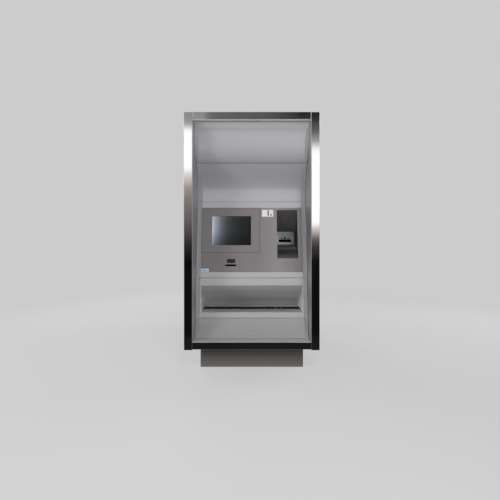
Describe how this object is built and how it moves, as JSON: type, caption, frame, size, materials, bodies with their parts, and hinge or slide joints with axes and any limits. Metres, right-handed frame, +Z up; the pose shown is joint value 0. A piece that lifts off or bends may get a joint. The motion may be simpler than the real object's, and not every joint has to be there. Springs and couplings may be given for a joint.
{
  "type": "through-the-wall cash machine",
  "caption": "Through-the-wall cash machine: steel surround, tilted control panel, card niche, cash tray, rear-access chest with cassettes, and upper cabinet.",
  "frame": {"origin": "centre of the four anchor holes on the underside of the chest", "axes": "+X to the right as the user sees it, +Y back into the machine, +Z up"},
  "size_m": [0.75, 1.19, 1.448],
  "materials": {
    "surround_steel": "dark polished and brushed stainless sheet",
    "lining_steel": "satin stainless plate",
    "sill_steel": "brushed stainless strip",
    "painted_sheet": "warm grey powder coat",
    "bare_sheet": "galvanised sheet",
    "zinc_steel": "zinc-plated steel",
    "chrome_metal": "polished chrome plate",
    "moulding": "fine-textured light grey moulding",
    "panel_plastic": "fine-textured warm dark grey moulding",
    "black_plastic": "black moulded plastic",
    "screen_glass": "dark touch screen glass over the display",
    "dark_pane": "smoked window",
    "label_film": "white printed film, pictogram only",
    "stripe_film": "pale film with a plain blue stripe",
    "niche_plastic": "dark grey textured moulding",
    "bezel_plastic": "silver-grey satin moulding",
    "tray_paint": "dark grey powder coat",
    "shutter_plastic": "black satin shutter",
    "chest_paint": "hammered grey safe enamel",
    "cabinet_paint": "light grey powder coat",
    "dial_plastic": "black dial with a knurled rim",
    "cassette_plastic": "dark blue-grey cassette shell",
    "reject_plastic": "dull red cassette shell",
    "paper": "white thermal paper roll"
  },
  "bodies": {
    "root_frame": {"left_frame_post": "surround_steel", "right_frame_post": "surround_steel", "top_frame_bar": "surround_steel", "bottom_frame_bar": "surround_steel", "left_lining_plate": "lining_steel", "right_lining_plate": "lining_steel", "top_lining_plate": "lining_steel", "bottom_lining_plate": "lining_steel", "lining_rear_flange": "lining_steel", "plinth_box": "painted_sheet", "fascia_support_webs": "bare_sheet", "hood_panel": "moulding", "hood_ceiling": "moulding", "panel_surround": "moulding", "tray_surround": "moulding", "lower_apron": "moulding", "control_panel": "panel_plastic", "screen_plate": "panel_plastic", "panel_mounting_plate": "bare_sheet", "panel_screws": "zinc_steel", "touch_glass": "screen_glass", "display_module": "black_plastic", "receipt_plate": "panel_plastic", "receipt_window": "dark_pane", "receipt_printer": "black_plastic", "paper_spindle": "zinc_steel", "instruction_label": "label_film", "corner_stripe": "stripe_film", "niche_liner": "niche_plastic", "card_bezel": "bezel_plastic", "card_reader": "black_plastic", "tray_liner": "tray_paint", "tray_sill": "sill_steel", "rear_floor_strip": "tray_paint", "note_pocket": "black_plastic", "note_guide_bars": "bezel_plastic", "note_transport_duct": "bare_sheet", "chest_shell": "chest_paint", "door_hinge_pins": "zinc_steel", "dispenser_frame": "bare_sheet", "note_pick_tower": "black_plastic", "cash_cassette_1": "cassette_plastic", "cash_cassette_2": "cassette_plastic", "cash_cassette_3": "cassette_plastic", "cash_cassette_4": "cassette_plastic", "reject_cassette": "reject_plastic", "cabinet_shell": "cabinet_paint", "computer_unit": "bare_sheet", "power_supply": "bare_sheet", "mains_inlet": "black_plastic"},
    "note_shutter": {"note_shutter": "shutter_plastic"},
    "card_shutter": {"card_shutter": "shutter_plastic"},
    "chest_door": {"chest_door": "chest_paint", "lock_case": "zinc_steel"},
    "chest_handle": {"chest_handle": "chrome_metal"},
    "bolt_bar": {"bolt_bar": "zinc_steel"},
    "lock_dial": {"lock_dial": "dial_plastic"},
    "cabinet_door": {"cabinet_door": "cabinet_paint"},
    "cabinet_lock": {"cabinet_lock": "chrome_metal"},
    "paper_roll": {"paper_roll": "paper"}
  },
  "joints": [
    {"name": "note_shutter_slide", "type": "slide", "parent": "root_frame", "child": "note_shutter", "axis": [0, 1, 0], "range_m": [0, 0.09]},
    {"name": "card_shutter_slide", "type": "slide", "parent": "root_frame", "child": "card_shutter", "axis": [0, -0.1994, -0.9799], "range_m": [0, 0.0082], "stiffness_N_per_m": 20, "springref_m": -0.002},
    {"name": "chest_door_hinge", "type": "hinge", "parent": "root_frame", "child": "chest_door", "pos_m": [-0.308, 0.363, 0.39], "axis": [0, 0, 1], "range_deg": [0, 110]},
    {"name": "chest_handle_turn", "type": "hinge", "parent": "chest_door", "child": "chest_handle", "pos_m": [0.12, 0.376, 0.39], "axis": [0, 1, 0], "range_deg": [0, 90]},
    {"name": "bolt_bar_slide", "type": "slide", "parent": "chest_door", "child": "bolt_bar", "axis": [1, 0, 0], "range_m": [0, 0.0241]},
    {"name": "lock_dial_turn", "type": "hinge", "parent": "chest_door", "child": "lock_dial", "pos_m": [0.12, 0.376, 0.52], "axis": [0, 1, 0], "continuous": true},
    {"name": "cabinet_door_hinge", "type": "hinge", "parent": "root_frame", "child": "cabinet_door", "pos_m": [-0.308, 0.363, 1.09], "axis": [0, 0, 1], "range_deg": [0, 110]},
    {"name": "cabinet_lock_turn", "type": "hinge", "parent": "cabinet_door", "child": "cabinet_lock", "pos_m": [0.255, 0.371, 1.09], "axis": [0, 1, 0], "range_deg": [0, 90]},
    {"name": "paper_roll_turn", "type": "hinge", "parent": "root_frame", "child": "paper_roll", "pos_m": [-0.1265, -0.415, 0.64], "axis": [1, 0, 0], "continuous": true}
  ],
  "couplings": [
    {"joint": "bolt_bar_slide", "follows": "chest_handle_turn", "m_per_rad": 0.015279}
  ]
}
